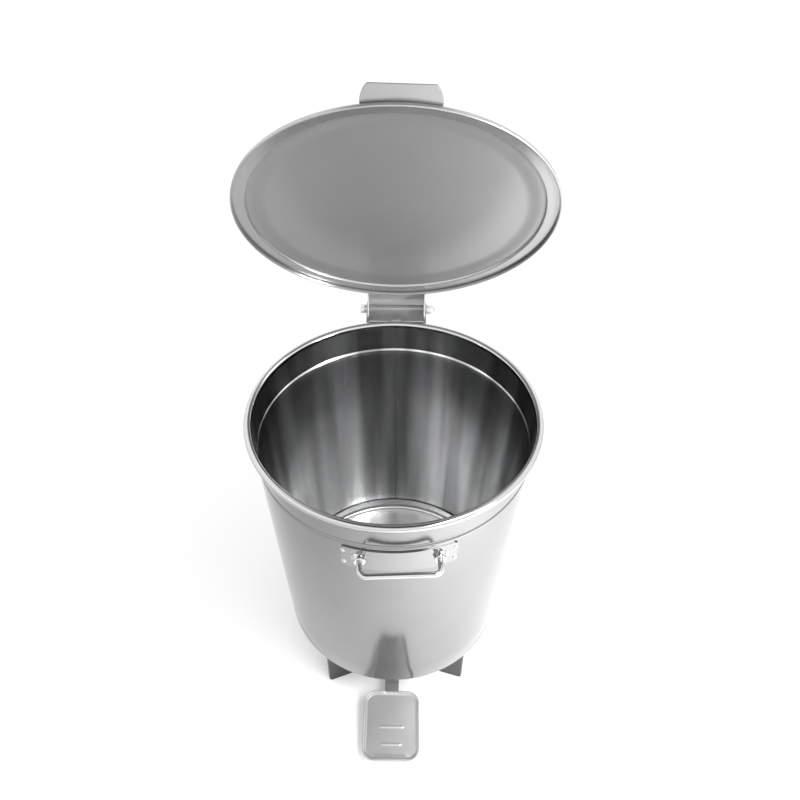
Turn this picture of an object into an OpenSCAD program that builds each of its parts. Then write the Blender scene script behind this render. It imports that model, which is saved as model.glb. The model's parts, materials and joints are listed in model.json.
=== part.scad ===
// Round stainless pedal bin: tapered bin on four folded feet, hinged lid, foot pedal and push rod.
// Millimetres, +Z up. The origin is on the floor under the bin's axis, with the pedal towards -Y.
// The lid is drawn wide open and the pedal pressed, which is the rest pose.

/* [Body] */
// Outer radius of the rolled rim bead
rim_r = 200; // [196:1:206]
// Height of the tapered wall, from its lower edge to the middle of the rim bead
wall_h = 408; // [390:1:430]
// Outer radius of the wall at its lower edge
base_r = 172.2; // [168:0.2:178]
// Thickness of the wall and lid sheet
sheet = 1; // [0.8:0.1:1.2]
// Radius of the rim bead's section
bead_r = 5; // [4.8:0.1:5.2]

/* [Feet] */
// Height of the feet, from the floor to the bottom plate
foot_h = 78; // [76:1:84]
// Angle of each foot from the front or rear centre line
foot_turn = 40; // [36:1:46]
// Angle of the whole set of feet off the pedal's centre line
foot_skew = 2.4; // [0:0.2:4]
// Length of each wing of a foot
foot_wing = 54; // [40:1:64]

/* [Lid] */
// How far the lid reaches past the rim bead
lid_over = 9.5; // [8:0.5:11]
// Height of the lid's pressed dome above its seat
dome_h = 7; // [5:0.5:12]
// Angle of the open lid above its closed position
lid_open = 62; // [60:0.2:64]
// Width of the lift tab at its root
tab_w = 87; // [70:1:100]
// Angle of the lift tab off the lid's centre line
tab_turn = 2; // [0:0.2:4]

/* [Hinge] */
// Distance of the hinge pin behind the rim bead
pin_back = 44; // [43:0.5:46]
// Diameter of the hinge pin
pin_d = 8; // [7:0.5:9]
// Distance between the inner faces of the body bracket's ears
ear_gap = 90; // [84:1:92]

/* [Pedal] */
// Width of the pedal pad
pad_w = 87; // [70:1:96]
// Length of the pedal pad
pad_l = 104; // [90:1:110]
// Width of the pedal's flat bar
bar_w = 22; // [20:1:26]

/* [Handle] */
// Distance between the handle's two arms
handle_pitch = 99.5; // [80:0.5:110]
// Diameter of the handle's round bar
handle_d = 7.5; // [6:0.5:9]
// Angle of the handle off the front centre line
handle_turn = 3.4; // [0:0.2:5]

/* [Hidden] */
$fn = 96;
fit = 0.05;              // radial clearance of a pin in its bore
weld_gap = 0.05;         // gap between a welded plate and the curved wall behind it
plate_t = 2;             // thickness of the folded brackets and plates
rim_z = foot_h + wall_h; // middle of the rim bead
neck_r = rim_r - 9;      // outer radius of the wall under the bead
bead_c = rim_r - bead_r; // radius of the bead's centre line
swage_z = rim_z - 45;    // middle of the stiffening groove
swage_h = 12;            // height of the groove
swage_in = 1.2;          // depth of the groove

lid_r = rim_r + lid_over;
lid_seat_z = rim_z + bead_r + 0.3;   // underside of the closed lid's seat
lid_top_z = lid_seat_z + sheet;
lid_edge_z = rim_z;                  // lower edge of the closed lid's skirt
step_r = rim_r - 8.5;                // radius of the pressed step inside the seat
step_h = 3;                          // height of the step
step_run = 1.5;                      // width of the step's slope
crown_r = 165;                       // radius inside which the lid is flat

pin_y = rim_r + pin_back;
pin_z = rim_z - 6;
ear_t = plate_t;
cheek_x = ear_gap / 2 - 0.5;         // outer face of the lid bracket's cheeks
boss_r = 12;
crank_r = 26;                        // distance from the hinge pin to the crank pin
crank_low = 14;                      // how far the open lid's crank points below level
crank_pin_r = 3;
crank_y = pin_y - crank_r * cos(crank_low);
crank_z = pin_z - crank_r * sin(crank_low);
web_y = rim_r + 5;                   // front face of the body bracket's web
ear_root = 150;                      // where the flat ears start, inside the wall's face
apron_gap = 9;                       // distance from the pin to the lid bracket's apron
apron_up = 7.5;                      // upper edge of the open lid's apron above the pin
apron_low = 28;                      // lower edge of the open lid's apron below the pin

axle_y = 85;                         // pedal axle
axle_z = 46;
axle_r = 5;
bush_r = 7;
hub_r = 10;
hub_l = 60;
bracket_x = 35;                      // inner face of the pedal bracket's ears
pedal_dip = 5.43;                    // slope of the pressed pedal's bar
bar_t = 5;
rear_arm = 143;                      // distance from the axle to the push rod's lower pin
pad_arm = 304;                       // distance from the axle to the middle of the pad
pad_t = 2;
pad_rivet_r = 2.5;
rod_pin_r = 3;
rod_r = 4;
rod_slack = 2.5;                     // play of the push rod's lower eye round its pin
rod_low_y = axle_y + rear_arm * cos(pedal_dip);
rod_low_z = axle_z + rear_arm * sin(pedal_dip);
eye_y = rod_low_y + 1.5;           // centre of the lower eye while the pedal is pressed
eye_z = rod_low_z + 1.4;
eye_r = rod_pin_r + rod_slack;

handle_z = rim_z - 72;
handle_plate_w = 147;
handle_plate_h = 40;
grip_y = -rim_r - 10;                // centre line of the handle's bar
grip_bend = 9;
collar_r = 7.5;
collar_out = 2;                      // reach of the collars past the wall's front
rivet_x = 69;                        // distance of the plate's rivets from its middle
rivet_r = 2;

steel = [0.78, 0.79, 0.8];
bright = [0.88, 0.88, 0.89];
dull = [0.6, 0.61, 0.62];
nylon = [0.16, 0.16, 0.17];

// Outer radius of the tapered wall at height z
function wall_r(z) = base_r + (neck_r - base_r) * (z - foot_h) / wall_h;
// Depth of the stiffening groove at height z
function groove(z) = abs(z - swage_z) > swage_h / 2 ? 0 : swage_in * cos(180 * (z - swage_z) / swage_h);
// Underside of the closed lid at radius r, inside the step
function dome_z(r) =
    lid_seat_z + step_h
    + (r < crown_r ? 1 : (1 + cos(180 * (r - crown_r) / (step_r - crown_r))) / 2) * (dome_h - step_h);
// Points of a rounded rectangle round the origin
function round_rect(w, l, r) = [
    for (q = [0:3]) for (a = [0:15:90])
        [
            (q == 0 || q == 3 ? 1 : -1) * (w / 2 - r) + r * cos(90 * q + a),
            (q < 2 ? 1 : -1) * (l / 2 - r) + r * sin(90 * q + a)
        ]
];
// Points of an arc round c, from angle a0 to a1
function arc(c, r, a0, a1) = [
    for (k = [0:8])
        c + r * [cos(a0 + (a1 - a0) * k / 8), sin(a0 + (a1 - a0) * k / 8)]
];

// Turns the closed lid's pieces to the open position
module open_lid() {
    translate([0, pin_y, pin_z])
        rotate([-lid_open, 0, 0])
            translate([0, -pin_y, -pin_z])
                children();
}

// Turns the level pedal's pieces, drawn round the axle, to the pressed position
module pressed_pedal() {
    translate([0, axle_y, axle_z])
        rotate([pedal_dip, 0, 0])
            children();
}

// A plate of thickness t with its inner face at x, from an outline in Y and Z
module side_plate(x, t) {
    translate([x, 0, 0])
        rotate([90, 0, 90])
            linear_extrude(t)
                children();
}

// A cylinder along X between x0 and x1, round the point y, z
module x_rod(x0, x1, y, z, r) {
    translate([x0, y, z])
        rotate([0, 90, 0])
            cylinder(h = x1 - x0, r = r);
}

// The solid cone inside the wall's outer face, grown by extra
module wall_cone(extra) {
    z0 = foot_h;
    z1 = rim_z;
    translate([0, 0, z0])
        cylinder(h = z1 - z0, r1 = wall_r(z0) + extra, r2 = wall_r(z1) + extra, $fn = 180);
}

// A curved plate on the outside of the wall, between the angles a0 and a1 from +X
module wall_plate(z0, z1, a0, a1) {
    rotate([0, 0, a0])
        rotate_extrude(angle = a1 - a0, $fn = 180)
            polygon([
                [wall_r(z0) + weld_gap, z0], [wall_r(z0) + weld_gap + plate_t, z0],
                [wall_r(z1) + weld_gap + plate_t, z1], [wall_r(z1) + weld_gap, z1]
            ]);
}

// ---- Bin ----

module body_shell() {
    groove_zs = [for (k = [0:12]) swage_z - swage_h / 2 + swage_h * k / 12];
    zs = concat([foot_h], groove_zs, [rim_z - 1.5]);
    outer = [for (z = zs) [wall_r(z) - groove(z), z]];
    inner = [for (k = [len(zs) - 1:-1:0]) [wall_r(zs[k]) - sheet - groove(zs[k]), zs[k]]];
    color(steel)
        difference() {
            rotate_extrude($fn = 180)
                union() {
                    polygon(concat(outer, inner));
                    translate([bead_c, rim_z])
                        difference() {
                            circle(r = bead_r, $fn = 48);
                            circle(r = bead_r - sheet, $fn = 48);
                        }
                }
            handle_rivet_shanks(rivet_r + fit);
        }
}

module rim_wire() {
    color(dull)
        rotate_extrude($fn = 180)
            translate([bead_c, rim_z])
                circle(r = bead_r - sheet - 0.1, $fn = 48);
}

module bottom_plate() {
    bend = 9;
    t = 1.5;
    top = foot_h + 20;
    bend_r = wall_r(foot_h) - sheet - bend - 0.1;
    color(bright)
        rotate_extrude($fn = 180)
            union() {
                translate([0, foot_h])
                    square([bend_r, t]);
                translate([bend_r, foot_h + bend])
                    intersection() {
                        difference() {
                            circle(r = bend, $fn = 48);
                            circle(r = bend - t, $fn = 48);
                        }
                        translate([0, -bend])
                            square(bend);
                    }
                translate([bend_r + bend - t, foot_h + bend])
                    square([t, top - foot_h - bend]);
            }
}

// One foot: a folded V with its edge outwards and a triangular sole, at the angle turn from +X
module foot(turn) {
    spread = 33;
    t = plate_t;
    bend = 5;
    tip = base_r - bend;
    reach = foot_wing * cos(spread);
    past = reach + 20;
    edge_as = [for (k = [0:6]) (90 - spread) * (1 - k / 6)];
    function v_half(r) = concat(
        [[r * sin(spread) - reach, r * cos(spread) + foot_wing * sin(spread)]],
        [for (a = edge_as) r * [cos(a), sin(a)]]
    );
    function flip(p) = [for (k = [len(p) - 1:-1:0]) [p[k][0], -p[k][1]]];
    outer = concat(v_half(bend), flip(v_half(bend)));
    inner = concat(v_half(bend - t), flip(v_half(bend - t)));
    color(dull)
        rotate([0, 0, turn])
            translate([tip, 0, 0]) {
                linear_extrude(foot_h)
                    difference() {
                        polygon(outer);
                        polygon(concat(inner, [[-past, 0]]));
                    }
                linear_extrude(t)
                    polygon(inner);
            }
}

module foot_front_left() {
    foot(270 + foot_skew - foot_turn);
}

module foot_front_right() {
    foot(270 + foot_skew + foot_turn);
}

module foot_rear_left() {
    foot(90 + foot_skew + foot_turn);
}

module foot_rear_right() {
    foot(90 + foot_skew - foot_turn);
}

// ---- Handle ----

// Angle from the front, at which a radial line leaves the wall at distance x from the middle
function front_turn(x) = asin(x / wall_r(handle_z));

module at_handle_rivets() {
    for (side = [-1, 1])
        for (dz = [-12, 12])
            rotate([0, 0, 270 + handle_turn + side * front_turn(rivet_x)])
                translate([wall_r(handle_z + dz), 0, handle_z - 2 + dz])
                    rotate([0, 90, 0])
                        children();
}

module handle_rivet_shanks(r) {
    at_handle_rivets()
        translate([0, 0, -sheet - 1])
            cylinder(h = sheet + plate_t + 2, r = r, $fn = 32);
}

module handle_rivets() {
    color(bright) {
        at_handle_rivets() {
            translate([0, 0, -sheet - 0.6])
                cylinder(h = sheet + plate_t + 1.2, r = rivet_r, $fn = 32);
            translate([0, 0, plate_t + 0.4])
                cylinder(h = 1.2, r1 = 3.6, r2 = 2.4, $fn = 32);
            translate([0, 0, -sheet - 1.6])
                cylinder(h = 1.2, r1 = 2.4, r2 = 3.6, $fn = 32);
        }
    }
}

module handle_plate() {
    half = front_turn(handle_plate_w / 2);
    middle = 270 + handle_turn;
    z0 = handle_z - handle_plate_h / 2 - 2;
    color(bright)
        difference() {
            wall_plate(z0, z0 + handle_plate_h, middle - half, middle + half);
            handle_rivet_shanks(rivet_r + fit);
        }
}

module handle_collars() {
    color(bright)
        rotate([0, 0, handle_turn])
            difference() {
                for (side = [-1, 1])
                    translate([side * handle_pitch / 2, -wall_r(handle_z) - collar_out, handle_z])
                        rotate([-90, 0, 0])
                            cylinder(h = 20, r = collar_r, $fn = 48);
                wall_cone(plate_t + 2 * weld_gap);
                for (side = [-1, 1])
                    translate([side * handle_pitch / 2, grip_y, handle_z])
                        rotate([-90, 0, 0])
                            cylinder(h = 60, r = handle_d / 2 + fit, $fn = 48);
            }
}

module handle_bar() {
    half = handle_pitch / 2;
    straight = half - grip_bend;
    color(bright)
        rotate([0, 0, handle_turn])
            difference() {
                union() {
                    x_rod(-straight, straight, grip_y, handle_z, handle_d / 2);
                    for (side = [-1, 1]) {
                        translate([side * straight, grip_y + grip_bend, handle_z])
                            rotate([0, 0, side < 0 ? 180 : 270])
                                rotate_extrude(angle = 90, $fn = 96)
                                    translate([grip_bend, 0])
                                        circle(d = handle_d, $fn = 48);
                        translate([side * half, grip_y + grip_bend, handle_z])
                            rotate([-90, 0, 0])
                                cylinder(h = 40, d = handle_d, $fn = 48);
                    }
                }
                wall_cone(plate_t + 2 * weld_gap);
            }
}

// ---- Hinge, body side ----

module hinge_bracket() {
    z0 = rim_z - 134;
    z1 = rim_z - 12;
    flange = asin((ear_gap / 2 + 18) / wall_r(z0));
    root = asin((ear_gap / 2) / wall_r(z1));
    color(steel)
        difference() {
            union() {
                for (side = [-1, 1])
                    side_plate(side < 0 ? -ear_gap / 2 - ear_t : ear_gap / 2, ear_t)
                        polygon(concat(
                            [[ear_root, z0 + 8], [web_y + 5, z0 + 8], [pin_y + boss_r, pin_z - 44]],
                            arc([pin_y, pin_z], boss_r, 0, 140),
                            [[web_y, z1 + 2], [web_y, z1], [ear_root, z1]]
                        ));
                translate([-ear_gap / 2, web_y, z0 + 8])
                    cube([ear_gap, plate_t, z1 - z0 - 8]);
            }
            wall_cone(weld_gap + plate_t / 2);
            x_rod(-80, 80, pin_y, pin_z, pin_d / 2 + fit);
        }
    color(steel)
        for (side = [0, 1])
            mirror([side, 0, 0])
                wall_plate(z0, z1, 90 - flange, 90 - root);
}

module hinge_bolt() {
    x0 = -ear_gap / 2 - ear_t - 3.8;
    color(bright)
        union() {
            x_rod(x0, ear_gap / 2 + ear_t + 9, pin_y, pin_z, pin_d / 2);
            translate([x0, pin_y, pin_z])
                rotate([0, -90, 0])
                    rotate([0, 0, 30])
                        cylinder(h = 6, r = 7.5, $fn = 6);
        }
}

module washer(x0, t, y, z, r, bore) {
    difference() {
        x_rod(x0, x0 + t, y, z, r, $fn = 48);
        x_rod(x0 - 1, x0 + t + 1, y, z, bore, $fn = 48);
    }
}

module hinge_washers() {
    x = ear_gap / 2 + ear_t;
    color(bright) {
        washer(x, 1.6, pin_y, pin_z, 8, pin_d / 2 + 0.2);
        washer(-x - 1.6, 1.6, pin_y, pin_z, 8, pin_d / 2 + 0.2);
    }
}

module hinge_lock_washer() {
    x = -ear_gap / 2 - ear_t - 3.8;
    color(dull)
        difference() {
            washer(x, 2.2, pin_y, pin_z, 7, pin_d / 2 + 0.2);
            translate([x - 1, pin_y, pin_z - 0.8])
                cube([5, 10, 1.6]);
        }
}

module hinge_dome_nut() {
    x = ear_gap / 2 + ear_t + 1.6;
    color(bright)
        difference() {
            union() {
                translate([x, pin_y, pin_z])
                    rotate([0, 90, 0])
                        rotate([0, 0, 30])
                            cylinder(h = 6.5, r = 7.5, $fn = 6);
                translate([x + 6, pin_y, pin_z])
                    intersection() {
                        sphere(r = 6.2, $fn = 48);
                        translate([0, -10, -10])
                            cube(20);
                    }
            }
            x_rod(x - 1, x + 8.5, pin_y, pin_z, pin_d / 2 + fit);
        }
}

// ---- Pedal bracket ----

module pedal_bracket() {
    t = 3;
    w = bracket_x + t;
    color(dull)
        difference() {
            union() {
                translate([-w, axle_y - 32, foot_h - t])
                    cube([2 * w, 64, t]);
                for (side = [-1, 1])
                    side_plate(side < 0 ? -w : bracket_x, t)
                        polygon(concat(
                            [[axle_y + 32, foot_h - t], [axle_y - 32, foot_h - t]],
                            arc([axle_y, axle_z], boss_r, 200, 340)
                        ));
            }
            x_rod(-w - 1, w + 1, axle_y, axle_z, axle_r + fit);
        }
}

module pedal_axle() {
    half = bracket_x + 10;
    color(bright)
        difference() {
            x_rod(-half, half, axle_y, axle_z, axle_r);
            for (side = [-1, 1])
                washer(side * (bracket_x + 5.9) - 0.7, 1.4, axle_y, axle_z, axle_r + 2, axle_r - 0.9);
        }
}

module axle_washers() {
    x = bracket_x + 3;
    color(bright) {
        washer(x + 0.2, 1.6, axle_y, axle_z, 10, axle_r + 0.2);
        washer(-x - 1.8, 1.6, axle_y, axle_z, 10, axle_r + 0.2);
    }
}

module axle_clips() {
    color(dull)
        for (side = [-1, 1])
            difference() {
                washer(side * (bracket_x + 5.9) - 0.5, 1, axle_y, axle_z, 8.5, axle_r - 0.8);
                translate([side * (bracket_x + 5.9) - 2, axle_y - 3.5, axle_z - 12])
                    cube([4, 7, 10]);
            }
}

// ---- Lid ----

module lid_shell() {
    n = 12;
    rs = [for (k = [0:n]) crown_r + (step_r - step_run - crown_r) * k / n];
    under = concat([for (r = rs) [r, dome_z(r)]], [[step_r, lid_seat_z], [lid_r - 1.2, lid_seat_z]]);
    over = [for (k = [len(under) - 1:-1:0]) under[k] + [0, sheet]];
    color(steel)
        open_lid()
            rotate_extrude($fn = 180)
                union() {
                    polygon(concat([[0, dome_z(0)]], under, over, [[0, dome_z(0) + sheet]]));
                    translate([lid_r - 1.2, lid_edge_z])
                        square([1.2, lid_top_z - lid_edge_z]);
                    translate([lid_r - 2.6, lid_edge_z])
                        square([1.5, 2.2]);
                }
}

module lid_tab() {
    t = 1.5;
    root = 14;
    tip_w = tab_w - 14;
    rise = 13;
    length = 23;
    reach = length * cos(rise);
    side = [for (k = [0:6]) [tip_w / 2 + (tab_w - tip_w) / 2 * (1 - pow(k / 6, 2)), -reach * k / 6]];
    color(bright)
        open_lid()
            rotate([0, 0, tab_turn])
                translate([0, -rim_r - 6.5, lid_top_z])
                    intersection() {
                        side_plate(-tab_w, 2 * tab_w)
                            polygon([
                                [root, 0], [0, 0], [-reach, length * sin(rise)],
                                [t * sin(rise) - reach, length * sin(rise) + t * cos(rise)],
                                [t * tan(rise / 2), t], [root, t]
                            ]);
                        translate([0, 0, -1])
                            linear_extrude(20)
                                polygon(concat(
                                    [[tab_w / 2, root + 1]],
                                    side,
                                    [for (k = [6:-1:0]) [-side[k][0], side[k][1]]],
                                    [[-tab_w / 2, root + 1]]
                                ));
                    }
}

module lid_bracket() {
    t = plate_t;
    closed_a = lid_open - crank_low - 90;
    crank_c = [pin_y, pin_z] + crank_r * [sin(closed_a), -cos(closed_a)];
    saddle_r0 = crown_r - 6;
    saddle_r1 = step_r - step_run + 0.1;
    saddle = [for (k = [0:8]) saddle_r0 + (saddle_r1 - saddle_r0) * k / 8];
    back = pin_y + 15;
    color(steel)
        open_lid()
            difference() {
                union() {
                    for (side = [-1, 1])
                        side_plate(side < 0 ? -cheek_x : cheek_x - t, t)
                            polygon(concat(
                                [[back, lid_top_z + t], [lid_r - 2, lid_top_z + t], [lid_r - 2, pin_z + 2]],
                                arc(crank_c, 6, 200, 300),
                                [[pin_y + 14, pin_z - 12]]
                            ));
                    translate([-cheek_x, step_r + 1, lid_top_z])
                        cube([2 * cheek_x, back - step_r - 1, t]);
                    intersection() {
                        rotate_extrude($fn = 180)
                            polygon(concat(
                                [for (r = saddle) [r, dome_z(r) + sheet + weld_gap]],
                                [[step_r + 0.1, lid_top_z + weld_gap]],
                                [[step_r + 4, lid_top_z + weld_gap], [step_r + 4, lid_top_z + t]],
                                [for (k = [8:-1:0]) [saddle[k], dome_z(saddle[k]) + sheet + t]]
                            ));
                        translate([-cheek_x, 100, lid_seat_z])
                            cube([2 * cheek_x, 110, 40]);
                    }
                    translate([0, pin_y, pin_z])
                        rotate([lid_open, 0, 0])
                            translate([-cheek_x + 1, -apron_gap - t, -apron_low])
                                cube([2 * cheek_x - 2, t, apron_low + apron_up]);
                }
                x_rod(-80, 80, pin_y, pin_z, pin_d / 2 + fit);
                x_rod(-80, 80, crank_c[0], crank_c[1], crank_pin_r + 0.03);
            }
}

module hinge_sleeve() {
    half = cheek_x - plate_t - 0.2;
    color(dull)
        difference() {
            x_rod(-half, half, pin_y, pin_z, 6.5);
            x_rod(-half - 1, half + 1, pin_y, pin_z, pin_d / 2 + fit);
        }
}

module crank_pin() {
    color(bright)
        x_rod(-cheek_x, cheek_x, crank_y, crank_z, crank_pin_r);
}

// ---- Push rod ----

module push_rod() {
    run = [eye_y - crank_y, eye_z - crank_z];
    tilt = atan2(run[0], -run[1]);
    color(dull)
        difference() {
            union() {
                translate([0, crank_y, crank_z])
                    rotate([180 + tilt, 0, 0])
                        cylinder(h = norm(run), r = rod_r);
                x_rod(-7.5, 7.5, crank_y, crank_z, 5.5);
                x_rod(-6, 6, eye_y, eye_z, eye_r + 3);
            }
            x_rod(-10, 10, crank_y, crank_z, crank_pin_r + fit);
            x_rod(-10, 10, eye_y, eye_z, eye_r);
        }
}

// ---- Pedal ----

module pedal_lever() {
    lug_t = 4;
    lug_x = 7;
    color(steel)
        pressed_pedal()
            difference() {
                union() {
                    translate([-bar_w / 2, -pad_arm - pad_l / 2 + 16, -bar_t / 2])
                        cube([bar_w, pad_arm + pad_l / 2 - 16 + rear_arm - 12, bar_t]);
                    x_rod(-hub_l / 2, hub_l / 2, 0, 0, hub_r);
                    for (side = [-1, 1])
                        side_plate(side < 0 ? -lug_x - lug_t : lug_x, lug_t)
                            polygon(concat(
                                [[rear_arm - 40, 6], [rear_arm - 40, -6]],
                                arc([rear_arm, 0], 8, 250, 470)
                            ));
                }
                x_rod(-hub_l / 2 - 1, hub_l / 2 + 1, 0, 0, bush_r + fit);
                x_rod(-20, 20, rear_arm, 0, rod_pin_r + 0.03);
                translate([0, -pad_arm, bar_t / 2])
                    at_pad_rivets()
                        cylinder(h = 10, r = pad_rivet_r + fit, $fn = 32);
            }
}

module pedal_bushes() {
    half = hub_l / 2;
    flange_t = 2;
    color(nylon)
        pressed_pedal()
            for (side = [-1, 1])
                difference() {
                    union() {
                        x_rod(side < 0 ? -half : 6, side < 0 ? -6 : half, 0, 0, bush_r);
                        x_rod(side < 0 ? -half - flange_t : half, side < 0 ? -half : half + flange_t, 0, 0, 9.5);
                    }
                    x_rod(-hub_l, hub_l, 0, 0, axle_r + fit);
                }
}

// The pad's two rivets, from 5 mm below its underside
module at_pad_rivets() {
    for (dy = [14, 40])
        translate([0, dy, -5])
            children();
}

module pedal_pad() {
    rim_w = 3;
    rim_up = 4;
    color(bright)
        pressed_pedal()
            translate([0, -pad_arm, bar_t / 2])
                difference() {
                    union() {
                        linear_extrude(pad_t + rim_up)
                            polygon(round_rect(pad_w, pad_l, 18));
                        x_rod(-pad_w / 2 + 16, pad_w / 2 - 16, -pad_l / 2 + 4.2, 0, 4, $fn = 48);
                    }
                    translate([0, 0, pad_t])
                        linear_extrude(rim_up + 1)
                            polygon(round_rect(pad_w - 2 * rim_w, pad_l - 2 * rim_w, 15));
                    at_pad_rivets()
                        cylinder(h = 10, r = pad_rivet_r + fit, $fn = 32);
                }
}

module pad_rivets() {
    color(bright)
        pressed_pedal()
            translate([0, -pad_arm, bar_t / 2])
                at_pad_rivets()
                    union() {
                        translate([0, 0, 5 - bar_t])
                            cylinder(h = bar_t + pad_t, r = pad_rivet_r, $fn = 32);
                        translate([0, 0, 3.8 - bar_t])
                            cylinder(h = 1.2, r1 = 2.6, r2 = 4, $fn = 32);
                    }
}

module rod_pin() {
    color(bright)
        pressed_pedal()
            x_rod(-15, 15, rear_arm, 0, rod_pin_r);
}

module rod_pin_clips() {
    color(dull)
        pressed_pedal()
            for (side = [-1, 1])
                washer(side * 13 - 0.6, 1.2, rear_arm, 0, 6, rod_pin_r + 0.03);
}

body_shell();
rim_wire();
bottom_plate();
foot_front_left();
foot_front_right();
foot_rear_left();
foot_rear_right();
handle_plate();
handle_collars();
handle_bar();
handle_rivets();
hinge_bracket();
hinge_bolt();
hinge_washers();
hinge_lock_washer();
hinge_dome_nut();
pedal_bracket();
pedal_axle();
axle_washers();
axle_clips();
lid_shell();
lid_tab();
lid_bracket();
hinge_sleeve();
crank_pin();
push_rod();
pedal_lever();
pedal_bushes();
pedal_pad();
pad_rivets();
rod_pin();
rod_pin_clips();
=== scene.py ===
import json
import math

import bmesh
import bpy
from mathutils import Matrix, Vector


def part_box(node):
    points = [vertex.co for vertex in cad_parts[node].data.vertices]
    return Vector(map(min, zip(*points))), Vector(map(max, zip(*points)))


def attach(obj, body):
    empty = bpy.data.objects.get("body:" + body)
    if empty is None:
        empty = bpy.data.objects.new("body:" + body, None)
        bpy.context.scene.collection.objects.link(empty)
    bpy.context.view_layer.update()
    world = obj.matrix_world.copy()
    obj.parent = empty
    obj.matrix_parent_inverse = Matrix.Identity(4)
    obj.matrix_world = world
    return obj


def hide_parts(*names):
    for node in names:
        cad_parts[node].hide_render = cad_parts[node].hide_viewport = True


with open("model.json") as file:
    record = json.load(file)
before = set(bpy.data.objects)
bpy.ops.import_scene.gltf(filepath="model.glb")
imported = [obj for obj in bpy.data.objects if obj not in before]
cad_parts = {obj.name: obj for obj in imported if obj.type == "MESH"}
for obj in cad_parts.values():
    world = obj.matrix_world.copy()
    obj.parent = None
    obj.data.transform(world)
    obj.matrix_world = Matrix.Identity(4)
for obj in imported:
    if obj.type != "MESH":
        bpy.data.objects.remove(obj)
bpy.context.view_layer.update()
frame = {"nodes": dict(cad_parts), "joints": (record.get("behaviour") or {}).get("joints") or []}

MM = 0.001  # shapes are drawn in millimetres, and meshes are in metres

# ---- Places and sizes, in millimetres, from the CAD frame where it has them ----

joints = {joint["name"]: joint for joint in frame["joints"]}
shell_lo, shell_hi = [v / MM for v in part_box("body_shell")]
wire_lo, wire_hi = [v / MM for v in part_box("rim_wire")]
axle_lo, axle_hi = [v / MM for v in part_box("pedal_axle")]
grip_lo, grip_hi = [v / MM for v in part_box("handle_bar")]
crank_lo, crank_hi = [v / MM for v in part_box("crank_pin")]
low_pin_lo, low_pin_hi = [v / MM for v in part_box("rod_pin")]

SHEET = 1.0  # the wall and the lid
PLATE_T = 2.0  # the brackets, the handle plate and the feet
FOOT_H = shell_lo.z
RIM_R = shell_hi.x
RIM_Z = (wire_lo.z + wire_hi.z) / 2
BEAD_R = shell_hi.z - RIM_Z
BEAD_C = RIM_R - BEAD_R  # the rim wire's own radius about the bin's axis
BASE_R = 172.2  # outside of the wall at the bottom
NECK_R = RIM_R - 9  # outside of the wall at the rim
SWAGE_Z = RIM_Z - 45  # the stiffening groove
SWAGE_H = 9
SWAGE_IN = 1.8

PIN_Y, PIN_Z = [v / MM for v in joints["lid_hinge"]["pos_m"][1:]]
PIN_R = 4
LID_OPEN = joints["lid_hinge"]["range_deg"][1]
LID_R = RIM_R + 9.5
LID_SEAT_Z = RIM_Z + BEAD_R + 0.3  # the lid rests a hair above the rim
LID_TOP_Z = LID_SEAT_Z + SHEET
STEP_R = RIM_R - 8.5  # the step just inside the rim
STEP_H = 3
CROWN_R = 165  # the flat top of the dome
DOME_H = 7
TAB_TURN = 2  # degrees about the bin's axis, as are the turns below
EAR_GAP = 90  # between the bracket's ears
CHEEK_X = EAR_GAP / 2 - 0.5  # outside of the lid bracket's cheeks
CRANK_R = 26  # from the hinge pin to the crank pin
CRANK_LOW = 14  # degrees that the open lid's crank points below level
WEB_Y = RIM_R + 5
BRACKET_LOW = 134  # the bracket's ends, below the rim
BRACKET_HIGH = 12

AXLE_Y = (axle_lo.y + axle_hi.y) / 2
AXLE_Z = (axle_lo.z + axle_hi.z) / 2
PEDAL_DIP = 5.43  # degrees that the pressed pedal slopes down
PAD_ARM = 304  # from the axle to the pad's middle
PAD_W = 87
PAD_L = 104
PAD_CORNER = 18.0
REAR_ARM = 143  # from the axle to the lower rod pin
LOW_EYE_OFF = (1.5, 1.4)  # from that pin to the middle of the rod's lower eye, which has play
BAR_W = 22
BAR_T = 5

HANDLE_Z = (grip_lo.z + grip_hi.z) / 2
HANDLE_HALF = 99.5 / 2  # half the distance between the handle's arms
GRIP_Y = -RIM_R - 10
GRIP_R = 3.75
GRIP_BEND = 9
RIVET_X = 69  # sideways from the middle of the plate
RIVET_RISE = 12
HANDLE_TURN = 3.4
FOOT_SKEW = 2.4
FOOT_WING = 54

# The camera: millimetres, degrees, and multiples of the rim's radius
CAMERA_LENS = 33.53
CAMERA_SHIFT = 0.0079
CAMERA_TURN = 1.06
CAMERA_TILT = 42.70
CAMERA_REACH = 3.628
CAMERA_RISE = 3.458

# From drawing coordinates (X, Y, up) to a plate that stands in the YZ plane
UPRIGHT = Matrix(((0, 0, 1, 0), (1, 0, 0, 0), (0, 1, 0, 0), (0, 0, 0, 1)))


def wall_radius(z):
    """Outer radius of the tapered wall at height z, without the groove."""
    return BASE_R + (NECK_R - BASE_R) * (z - FOOT_H) / (RIM_Z - FOOT_H)


def groove(z):
    """Depth of the stiffening groove at height z."""
    off = (z - SWAGE_Z) / SWAGE_H
    return SWAGE_IN * (1 + math.cos(2 * math.pi * off)) / 2 if abs(off) < 0.5 else 0.0


def dome_z(r):
    """Underside of the closed lid at radius r, inside the step."""
    fall = 1 if r < CROWN_R else (1 + math.cos(math.pi * (r - CROWN_R) / (STEP_R - CROWN_R))) / 2
    return LID_SEAT_Z + STEP_H + fall * (DOME_H - STEP_H)


def about_x(angle, y, z):
    """A turn of angle degrees about a line along X through y, z."""
    there = Matrix.Translation((0, y, z))
    return there @ Matrix.Rotation(math.radians(angle), 4, "X") @ there.inverted()


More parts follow.
